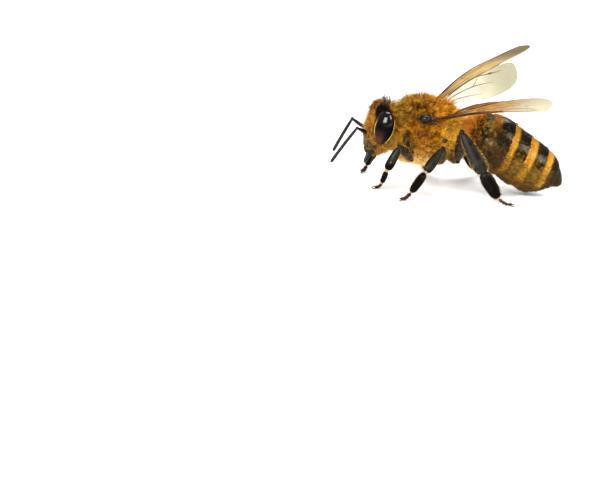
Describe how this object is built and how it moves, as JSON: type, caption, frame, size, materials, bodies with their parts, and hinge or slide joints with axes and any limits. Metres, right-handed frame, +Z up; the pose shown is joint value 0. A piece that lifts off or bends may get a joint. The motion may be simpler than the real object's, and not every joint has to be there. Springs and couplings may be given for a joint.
{
  "type": "honey bee, worker, standing still model",
  "caption": "Life-size honey bee worker standing with spread wings, golden hair on the thorax and banded abdomen; a still display model.",
  "frame": {"origin": "on the floor under the middle of the whole bee's box", "axes": "+Z up, the bee faces -X, its left side is -Y"},
  "size_m": [0.0158, 0.0146, 0.0088],
  "materials": {
    "coat": "matte, dense golden-brown hair",
    "plate": "satin horn plates with pale hair bands",
    "cuticle": "satin black horn",
    "eye": "glossy black",
    "foot": "dark reddish brown horn",
    "wing": "clear membrane with brown veins"
  },
  "bodies": {
    "root": {"prothorax": "coat", "scutellum": "coat", "propodeum": "coat", "mesothorax": "coat", "abdomen_1": "plate", "abdomen_2": "plate", "abdomen_3": "plate", "abdomen_4": "plate", "abdomen_5": "plate", "abdomen_6": "plate", "head": "coat", "eye_left": "eye", "eye_right": "eye", "proboscis": "foot", "mandible_left": "cuticle", "mandible_right": "cuticle", "neck": "coat", "petiole": "coat", "scape_left": "cuticle", "flagellum_left": "cuticle", "tegula_left": "cuticle", "forewing_left": "wing", "hindwing_left": "wing", "scape_right": "cuticle", "flagellum_right": "cuticle", "tegula_right": "cuticle", "forewing_right": "wing", "hindwing_right": "wing", "coxa_fore_left": "cuticle", "femur_fore_left": "cuticle", "tibia_fore_left": "cuticle", "basitarsus_fore_left": "cuticle", "foot_fore_left": "foot", "coxa_fore_right": "cuticle", "femur_fore_right": "cuticle", "tibia_fore_right": "cuticle", "basitarsus_fore_right": "cuticle", "foot_fore_right": "foot", "coxa_mid_left": "cuticle", "femur_mid_left": "cuticle", "tibia_mid_left": "cuticle", "basitarsus_mid_left": "cuticle", "foot_mid_left": "foot", "coxa_mid_right": "cuticle", "femur_mid_right": "cuticle", "tibia_mid_right": "cuticle", "basitarsus_mid_right": "cuticle", "foot_mid_right": "foot", "coxa_hind_left": "cuticle", "femur_hind_left": "cuticle", "tibia_hind_left": "cuticle", "basitarsus_hind_left": "cuticle", "foot_hind_left": "foot", "coxa_hind_right": "cuticle", "femur_hind_right": "cuticle", "tibia_hind_right": "cuticle", "basitarsus_hind_right": "cuticle", "foot_hind_right": "foot"}
  },
  "joints": []
}
